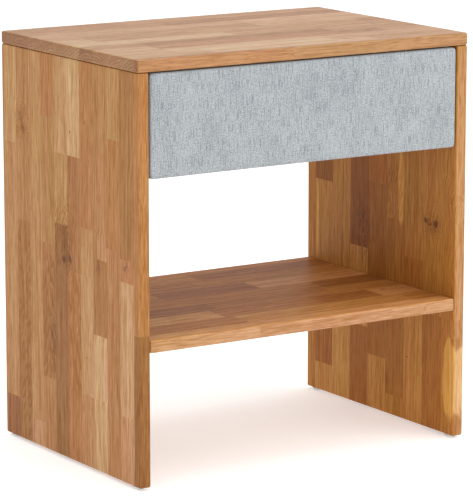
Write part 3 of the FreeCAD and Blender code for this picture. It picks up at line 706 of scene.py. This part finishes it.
def plated_steel(hardware):
    """Zinc-plated steel: crystals of zinc, fine rolling lines and a few dull patches."""
    finish = Finish("zinc_plated_steel")
    x, y, z = finish.place
    sockets = {"Vector": finish.vector(x, y, z), "Scale": 260.0}
    crystal = finish.node("TexVoronoi", {"feature": "F1"}, sockets, 1)
    grey = finish.split(crystal)[0]
    lines = finish.noise(x * 2400, y * 60, z * 2400)
    patch = finish.smooth(finish.noise(x * 45, y * 45, z * 45, 3.0), 0.4, 0.7)
    bright = finish.tint(hardware.zinc, (1.12, 1.12, 1.13))
    dull = finish.tint(hardware.zinc, (0.80, 0.80, 0.79))
    return finish.finished(
        {"Metallic": 1.0},
        height=lines * 0.5 + grey * 0.2,
        bump=0.25,
        depth=0.05 * MM,
        Base_Color=finish.mix(grey * 0.5 + patch * 0.4, bright, dull),
        Roughness=0.28 + patch * 0.16 + (lines - 0.5) * 0.16,
    )


def ball_steel(hardware):
    """Hard polished steel under a film of grease."""
    finish = Finish("polished_ball_steel")
    x, y, z = finish.place
    film = finish.smooth(finish.noise(x * 500, y * 500, z * 500, 3.0), 0.45, 0.65)
    return finish.finished(
        {"Metallic": 1.0},
        height=film,
        bump=0.15,
        depth=0.02 * MM,
        Base_Color=finish.mix(film, hardware.steel, finish.tint(hardware.steel, (0.82, 0.80, 0.74))),
        Roughness=0.12 + film * 0.14,
    )


def moulded(name, tone, rough, grain, constants=None):
    """Moulded plastic or rubber: fine spark-eroded grain, faint flow clouds and scuffs."""
    finish = Finish(name)
    x, y, z = finish.place
    pits = finish.noise(x * grain, y * grain, z * grain, 2.0)
    cloud = finish.noise(x * 90, y * 90, z * 90, 2.0)
    scuff = finish.smooth(finish.noise(x * 260, y * 700, z * 260, 3.0, 0.7), 0.6, 0.7)
    body = finish.mix(cloud, finish.tint(tone, (0.86, 0.86, 0.86)), finish.tint(tone, (1.08, 1.08, 1.08)))
    return finish.finished(
        constants,
        height=pits + scuff * 0.3,
        bump=0.3,
        depth=0.08 * MM,
        Base_Color=finish.mix(scuff * 0.15, body, (0.6, 0.6, 0.6)),
        Roughness=rough + (pits - 0.5) * 0.2 + scuff * 0.15,
    )


# ---------------------------------------------------------------------------------------------
# Cloth and wadding


def woven_cloth(cloth):
    """Plain weave in two shades of thread, with upright slubs. It reads the piece's UV map, in metres."""
    finish = Finish("slubbed_cloth")
    u, v, _ = finish.split(finish.node("UVMap", {"uv_map": "cut"}))
    slub = finish.noise(u / cloth.slub_width, v / cloth.slub_length, 0.0, 1.0)
    streak = finish.smooth(slub, 0.53, 0.7)
    short = finish.noise(u / (cloth.slub_width * 0.8), v / (cloth.slub_length * 0.3), 7.0, 1.0)
    speck = finish.noise(u / (cloth.thread * 2.0), v / (cloth.thread * 3.0), 5.0, 0.0)
    cross = finish.noise(u / (cloth.slub_length * 0.4), v / cloth.slub_width, 3.0, 1.0)
    cloud = finish.noise(u * 28, v * 14, 11.0, 2.0)
    turn = 2 * math.pi / cloth.thread
    warp = finish.maths("SINE", u * turn)
    weft = finish.maths("SINE", v * turn)
    over = warp * weft
    dark = 0.43 + (slub - 0.5) * 0.8 + streak * 0.3 + (short - 0.5) * 0.8 + (speck - 0.5) * 1.6
    dark = dark + (cross - 0.5) * 0.4 + (cloud - 0.5) * 0.5 + over * 0.08
    dark = finish.node("Clamp", None, {0: dark})
    body = finish.mix(dark, cloth.light, cloth.dark)
    return finish.finished(
        {"Sheen_Weight": 0.25, "Sheen_Roughness": 0.45, "Specular_IOR_Level": 0.2},
        height=over * 0.5 + short * 0.6 + speck * 0.4,
        bump=0.5,
        depth=0.22 * MM,
        Base_Color=body,
        Roughness=0.88 - dark * 0.06,
    )


def fleece(cloth):
    """Carded polyester wadding: white tangled fibres."""
    finish = Finish("carded_wadding")
    shaded = finish.tint(cloth.fleece, (0.85, 0.85, 0.84))
    x, y, z = finish.place
    tangle = finish.noise(x * 420, y * 900, z * 420, 5.0, 0.75)
    clump = finish.noise(x * 70, y * 70, z * 70, 2.0)
    return finish.finished(
        {"Sheen_Weight": 0.4, "Specular_IOR_Level": 0.15},
        height=tangle + clump,
        bump=0.7,
        depth=0.5 * MM,
        Base_Color=finish.mix(tangle * 0.5 + clump * 0.5, shaded, cloth.fleece),
        Roughness=0.9 + (tangle - 0.5) * 0.1,
    )


SAME_PLACE = 1e-6
HELD_DEPTH = 4 * MM
HOLLOW_REACH = 30 * MM
WADDING_RIM = 2.2 * MM
WADDING_CELL = 1.2  # of the cloth's cell
LUMP = 0.12 * MM


def cut_into_cells(shape, axis, places):
    """Cuts every face of a shape at right angles to an axis."""
    for place in places:
        middle = Vector((0.0, 0.0, 0.0))
        middle[axis] = place
        normal = Vector((0.0, 0.0, 0.0))
        normal[axis] = 1.0
        whole = shape.verts[:] + shape.edges[:] + shape.faces[:]
        bmesh.ops.bisect_plane(shape, geom=whole, dist=SAME_PLACE, plane_co=middle, plane_no=normal)


def cell_places(low, high, cell):
    """Even places between two ends, about a cell apart."""
    count = max(1, round((high - low) / cell))
    return [low + (high - low) * number / count for number in range(1, count)]


def round_off(shape, sharp, radius, segments=4):
    """Rounds sharp edges off with a bevel."""
    bmesh.ops.bevel(
        shape,
        geom=sharp,
        offset=radius,
        offset_type="OFFSET",
        segments=segments,
        profile=0.5,
        affect="EDGES",
        material=-1,
    )


def rim_edges(shape, depth):
    """The edges that lie wholly at one depth, which are the rim of the front or the back face."""
    return [e for e in shape.edges if all(abs(v.co.y - depth) < SAME_PLACE for v in e.verts)]


def rounded_block(low, high, outline, rim):
    """A closed block with rounded corners in its outline and a rounded rim round its front face."""
    shape = bmesh.new()
    middle = Matrix.Translation((low + high) / 2)
    bmesh.ops.create_cube(shape, size=1.0, matrix=middle @ Matrix.Diagonal((*(high - low), 1.0)))
    corners = [e for e in shape.edges if abs(e.verts[0].co.y - e.verts[1].co.y) > SAME_PLACE]
    round_off(shape, corners, outline)
    round_off(shape, rim_edges(shape, low.y), rim)
    return shape


def as_piece(shape, name, material):
    """Turns a bmesh into an object at the origin, smooth and facing outwards."""
    bmesh.ops.recalc_face_normals(shape, faces=shape.faces)
    mesh = bpy.data.meshes.new(name)
    shape.to_mesh(mesh)
    shape.free()
    mesh.shade_smooth()
    mesh.materials.append(material)
    piece = bpy.data.objects.new(name, mesh)
    bpy.context.scene.collection.objects.link(piece)
    return piece


def swell(piece, cloth, back):
    """Lets the padding push the cloth's face forwards, by a cloth simulation that is held at the back.

    Only the forward part of each move is kept, up to the cloth's swell.
    """
    held = piece.vertex_groups.new(name="held")
    held.add([v.index for v in piece.data.vertices if v.co.y > back - HELD_DEPTH], 1.0, "REPLACE")
    fabric = piece.modifiers.new("fabric", "CLOTH")
    fabric.settings.vertex_group_mass = "held"
    fabric.settings.quality = 6
    fabric.settings.mass = 0.2
    fabric.settings.tension_stiffness = 40.0
    fabric.settings.compression_stiffness = 40.0
    fabric.settings.bending_stiffness = 1.0
    fabric.settings.use_pressure = True
    fabric.settings.uniform_pressure_force = cloth.pressure
    fabric.settings.effector_weights.gravity = 0.0
    fabric.collision_settings.use_collision = False
    scene = bpy.context.scene
    for step in range(1, cloth.frames + 1):
        scene.frame_set(step)
    solved = piece.evaluated_get(bpy.context.evaluated_depsgraph_get())
    moves = [before.co.y - after.co.y for after, before in zip(solved.data.vertices, piece.data.vertices)]
    piece.modifiers.remove(fabric)
    piece.vertex_groups.remove(held)
    scene.frame_set(1)
    for vertex, move in zip(piece.data.vertices, moves):
        vertex.co.y -= min(max(move, 0.0), cloth.swell)


def lay_cut(shape, low, high):
    """Writes a UV map in metres: face and back keep their places, and the sides unfold from the face."""
    cut = shape.loops.layers.uv.new("cut")
    middle = (low + high) / 2
    for face in shape.faces:
        outward = face.normal
        for loop in face.loops:
            spot = loop.vert.co
            depth = spot.y - low.y
            u, v = spot.x, spot.z
            if outward.y < 0.5 and abs(outward.x) > 0.6:
                u += math.copysign(depth, spot.x - middle.x)
            elif outward.y < 0.5 and abs(outward.z) > 0.6:
                v += math.copysign(depth, spot.z - middle.z)
            loop[cut].uv = (u, v)


def soften(piece):
    """Subdivides a piece once, in the view and in the render alike."""
    rounding = piece.modifiers.new("soften", "SUBSURF")
    rounding.levels = 1
    rounding.render_levels = 1


def drawer_cloth(cloth):
    """The cloth that is pulled round the drawer front, with its hems on the back."""
    low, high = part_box("front_cover")
    shape = rounded_block(low, high, cloth.outline, cloth.rim)
    round_off(shape, rim_edges(shape, high.y), cloth.fold, 2)
    inner_x = [low.x + cloth.side_hem, high.x - cloth.side_hem]
    inner_z = [low.z + cloth.long_hem, high.z - cloth.long_hem]
    cut_into_cells(shape, 0, inner_x + cell_places(*inner_x, cloth.cell))
    cut_into_cells(shape, 2, inner_z + cell_places(*inner_z, cloth.cell))
    cut_into_cells(shape, 1, cell_places(low.y + cloth.rim, high.y, cloth.cell))
    piece = as_piece(shape, "drawer_cloth", woven_cloth(cloth))
    swell(piece, cloth, high.y)

    half = (high.x - low.x) / 2
    for vertex in piece.data.vertices:
        across = (vertex.co.x - (low.x + high.x) / 2) / half
        lower = max(0.0, 1 - (vertex.co.z - low.z) / HOLLOW_REACH)
        vertex.co.z += cloth.hollow * (1 - across * across) * lower

    shape = bmesh.new()
    shape.from_mesh(piece.data)
    shape.normal_update()
    inside = []
    for face in shape.faces:
        spot = face.calc_center_median()
        if face.normal.y > 0.7 and inner_x[0] < spot.x < inner_x[1] and inner_z[0] < spot.z < inner_z[1]:
            inside.append(face)
    bmesh.ops.delete(shape, geom=inside, context="FACES")
    lay_cut(shape, low, high)
    shape.to_mesh(piece.data)
    shape.free()
    thicken = piece.modifiers.new("thickness", "SOLIDIFY")
    thicken.thickness = cloth.thickness
    thicken.offset = -1.0
    soften(piece)
    return piece


def front_wadding(cloth):
    """The pad between the board and the cloth, softly lumpy on its face."""
    low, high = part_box("front_padding")
    shape = rounded_block(low, high, cloth.outline, WADDING_RIM)
    cut_into_cells(shape, 0, cell_places(low.x, high.x, WADDING_CELL * cloth.cell))
    cut_into_cells(shape, 2, cell_places(low.z, high.z, WADDING_CELL * cloth.cell))
    for vertex in shape.verts:
        if vertex.co.y < low.y + 1 * MM:
            lump = math.sin(vertex.co.x * 190) * math.sin(vertex.co.z * 230 + vertex.co.x * 35)
            vertex.co.y += LUMP * (1 + lump)
    piece = as_piece(shape, "front_wadding", fleece(cloth))
    soften(piece)
    return piece


# ---------------------------------------------------------------------------------------------
# Operators


class NIGHTSTAND_OT_side_panels(Operator):
    """Finish both side panels as upright edge-glued staves"""

    bl_idname = "nightstand.side_panels"
    bl_label = "Side Panels"

    def execute(self, context):
        for board in (LEFT_PANEL, RIGHT_PANEL):
            dress(board.node, staved_wood(board, context.scene.nightstand_wood))
        return {"FINISHED"}


class NIGHTSTAND_OT_top_panel(Operator):
    """Finish the top as staves that run from side to side"""

    bl_idname = "nightstand.top_panel"
    bl_label = "Top Panel"

    def execute(self, context):
        dress(TOP_PANEL.node, staved_wood(TOP_PANEL, context.scene.nightstand_wood, 0.4, 0.5))
        return {"FINISHED"}


class NIGHTSTAND_OT_shelf(Operator):
    """Finish the shelf and the rail at the back"""

    bl_idname = "nightstand.shelf_and_rail"
    bl_label = "Shelf and Rail"

    def execute(self, context):
        for board in (SHELF, REAR_RAIL):
            dress(board.node, staved_wood(board, context.scene.nightstand_wood))
        return {"FINISHED"}


class NIGHTSTAND_OT_joint_fittings(Operator):
    """Finish the dowels, cam bolts, cams and caps in the carcass joints"""

    bl_idname = "nightstand.joint_fittings"
    bl_label = "Joint Fittings"

    def execute(self, context):
        hardware = context.scene.nightstand_hardware
        dress("wood_dowels", dowel_wood(context.scene.nightstand_wood))
        steel = plated_steel(hardware)
        for node in ("cam_bolts", "cam_locks"):
            dress(node, steel)
        dress("cam_caps", moulded("tan_caps", hardware.caps, 0.42, 2600))
        return {"FINISHED"}


class NIGHTSTAND_OT_glides(Operator):
    """Finish the four floor glides and their nails"""

    bl_idname = "nightstand.glides"
    bl_label = "Glides"

    def execute(self, context):
        hardware = context.scene.nightstand_hardware
        depth = {"Transmission_Weight": 0.35, "Subsurface_Weight": 0.2}
        milky = moulded("milky_glides", hardware.clear, 0.38, 1800, depth)
        for corner in ("front_left", "front_right", "rear_left", "rear_right"):
            dress(corner + "_glide", milky)
        dress("glide_nails", plated_steel(hardware))
        return {"FINISHED"}


class NIGHTSTAND_OT_slides(Operator):
    """Finish the drawer slides with their cages, balls, levers, rivets and buffers"""

    bl_idname = "nightstand.slides"
    bl_label = "Drawer Slides"

    def execute(self, context):
        hardware = context.scene.nightstand_hardware
        steel = plated_steel(hardware)
        balls = ball_steel(hardware)
        lever = moulded("release_levers", hardware.levers, 0.5, 3000)
        for side in ("left_", "right_"):
            for member in ("slide_outer", "slide_middle", "slide_inner"):
                dress(side + member, steel)
            for cage in ("outer_ball_cage", "inner_ball_cage"):
                dress(side + cage, steel)
            for row in ("outer_balls", "inner_balls"):
                dress(side + row, balls)
            dress(side + "release_lever", lever)
        dress("lever_rivets", steel)
        dress("slide_bumpers", moulded("slide_rubber", hardware.rubber, 0.75, 2200))
        return {"FINISHED"}


class NIGHTSTAND_OT_fasteners(Operator):
    """Finish the screws and the staples"""

    bl_idname = "nightstand.fasteners"
    bl_label = "Screws and Staples"

    def execute(self, context):
        steel = plated_steel(context.scene.nightstand_hardware)
        for node in ("side_slide_screws", "box_slide_screws", "front_screws", "cover_staples"):
            dress(node, steel)
        return {"FINISHED"}


class NIGHTSTAND_OT_drawer_box(Operator):
    """Finish the boards of the drawer box and the board inside its front"""

    bl_idname = "nightstand.drawer_box"
    bl_label = "Drawer Box"

    def execute(self, context):
        for board in BOX_BOARDS:
            dress(board.node, staved_wood(board, context.scene.nightstand_wood, 0.36, 0.3, 0.45))
        return {"FINISHED"}


class NIGHTSTAND_OT_front_wadding(Operator):
    """Make the wadding on the drawer front"""

    bl_idname = "nightstand.front_wadding"
    bl_label = "Wadding"

    def execute(self, context):
        piece = front_wadding(context.scene.nightstand_cloth)
        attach(piece, "drawer")
        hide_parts("front_padding")
        return {"FINISHED"}


class NIGHTSTAND_OT_drawer_cloth(Operator):
    """Make the cloth that covers the drawer front"""

    bl_idname = "nightstand.drawer_cloth"
    bl_label = "Cloth Cover"

    def execute(self, context):
        cloth = context.scene.nightstand_cloth
        piece = drawer_cloth(cloth)
        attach(piece, "drawer")
        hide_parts("front_cover")
        return {"FINISHED"}


FLOOR_RADIUS = 9.0

# name, place, width and the studio's setting for its power
LAMPS = (
    ("overhead_light", (0.2, -0.3, 2.6), 2.4, "sky_power"),
    ("left_light", (-2.6, -1.2, 1.5), 1.8, "side_power"),
    ("right_light", (1.8, -3.0, 1.7), 2.8, "front_power"),
)

CAMERA_PLACE = (-2.406, -3.744, 1.152)
CAMERA_TURN = 0.572  # radians from +Y towards +X
CAMERA_DIP = 0.194  # radians below the level


def soft_light(name, place, target, size, power):
    """A large square lamp aimed at a point, unseen by the camera."""
    lamp = bpy.data.lights.new(name, "AREA")
    lamp.size = size
    lamp.energy = power
    holder = bpy.data.objects.new(name, lamp)
    holder.location = place
    holder.rotation_euler = (Vector(target) - Vector(place)).to_track_quat("-Z", "Y").to_euler()
    holder.visible_camera = False
    bpy.context.scene.collection.objects.link(holder)


class NIGHTSTAND_OT_studio(Operator):
    """Make the pale floor, the soft lights, the white surround and the camera"""

    bl_idname = "nightstand.studio"
    bl_label = "Studio"

    def execute(self, context):
        scene = context.scene
        studio = scene.nightstand_studio
        low, high = CAD_BOX

        shape = bmesh.new()
        rise = Matrix.Translation((0.0, 0.0, low.z))
        bmesh.ops.create_circle(shape, cap_ends=True, radius=FLOOR_RADIUS, segments=96, matrix=rise)
        finish = Finish("pale_floor")
        x, y, _ = finish.place
        cloud = finish.noise(x * 3, y * 3, 0.0)
        tone = finish.mix(cloud, finish.tint(studio.floor, (0.985, 0.985, 0.985)), studio.floor)
        glow = {"Emission_Color": (1.0, 1.0, 1.0), "Emission_Strength": studio.glow}
        pale = finish.finished(glow, Base_Color=tone, Roughness=0.8 + cloud * 0.1)
        floor = as_piece(shape, "studio_floor", pale)

        middle = (low + high) / 2
        for name, place, width, setting in LAMPS:
            soft_light(name, place, middle, width, getattr(studio, setting))

        surround = bpy.data.worlds.new("white_surround")
        surround.use_nodes = True
        nodes = surround.node_tree.nodes
        links = surround.node_tree.links
        nodes.clear()
        rays = nodes.new("ShaderNodeLightPath")
        seen = nodes.new("ShaderNodeBackground")
        lighting = nodes.new("ShaderNodeBackground")
        lighting.inputs["Strength"].default_value = studio.fill
        for background in (seen, lighting):
            background.inputs["Color"].default_value = (1.0, 1.0, 1.0, 1.0)
        choice = nodes.new("ShaderNodeMixShader")
        output = nodes.new("ShaderNodeOutputWorld")
        links.new(rays.outputs["Is Camera Ray"], choice.inputs[0])
        links.new(lighting.outputs[0], choice.inputs[1])
        links.new(seen.outputs[0], choice.inputs[2])
        links.new(choice.outputs[0], output.inputs["Surface"])
        scene.world = surround
        scene.view_settings.view_transform = "Standard"

        level = math.cos(CAMERA_DIP)
        aside = math.sin(CAMERA_TURN) * level
        ahead = math.cos(CAMERA_TURN) * level
        forward = Vector((aside, ahead, -math.sin(CAMERA_DIP)))
        camera = bpy.data.cameras.new("studio_camera")
        camera.lens = studio.lens
        camera.sensor_width = 36.0
        camera.clip_end = 60.0
        holder = bpy.data.objects.new("studio_camera", camera)
        holder.location = CAMERA_PLACE
        holder.rotation_euler = forward.to_track_quat("-Z", "Y").to_euler()
        scene.collection.objects.link(holder)
        scene.camera = holder
        return {"FINISHED"}


OPERATORS = (
    NIGHTSTAND_OT_side_panels,
    NIGHTSTAND_OT_top_panel,
    NIGHTSTAND_OT_shelf,
    NIGHTSTAND_OT_joint_fittings,
    NIGHTSTAND_OT_glides,
    NIGHTSTAND_OT_slides,
    NIGHTSTAND_OT_fasteners,
    NIGHTSTAND_OT_drawer_box,
    NIGHTSTAND_OT_front_wadding,
    NIGHTSTAND_OT_drawer_cloth,
    NIGHTSTAND_OT_studio,
)


class NIGHTSTAND_PT_finishes(Panel):
    """Lists what can be made and finished"""

    bl_idname = "NIGHTSTAND_PT_finishes"
    bl_label = "Nightstand"
    bl_space_type = "VIEW_3D"
    bl_region_type = "UI"
    bl_category = "Nightstand"

    def draw(self, context):
        for operator in OPERATORS:
            self.layout.operator(operator.bl_idname)


SETTINGS = {
    "nightstand_wood": NightstandWood,
    "nightstand_cloth": NightstandCloth,
    "nightstand_hardware": NightstandHardware,
    "nightstand_studio": NightstandStudio,
}


def register():
    for group in SETTINGS.values():
        bpy.utils.register_class(group)
    for name, group in SETTINGS.items():
        setattr(bpy.types.Scene, name, PointerProperty(type=group))
    for operator in OPERATORS:
        bpy.utils.register_class(operator)
    bpy.utils.register_class(NIGHTSTAND_PT_finishes)


def unregister():
    bpy.utils.unregister_class(NIGHTSTAND_PT_finishes)
    for operator in reversed(OPERATORS):
        bpy.utils.unregister_class(operator)
    for name, group in reversed(SETTINGS.items()):
        delattr(bpy.types.Scene, name)
        bpy.utils.unregister_class(group)


def main():
    register()
    for operator in OPERATORS:
        family, name = operator.bl_idname.split(".")
        getattr(getattr(bpy.ops, family), name)()


if __name__ == "__main__":
    main()
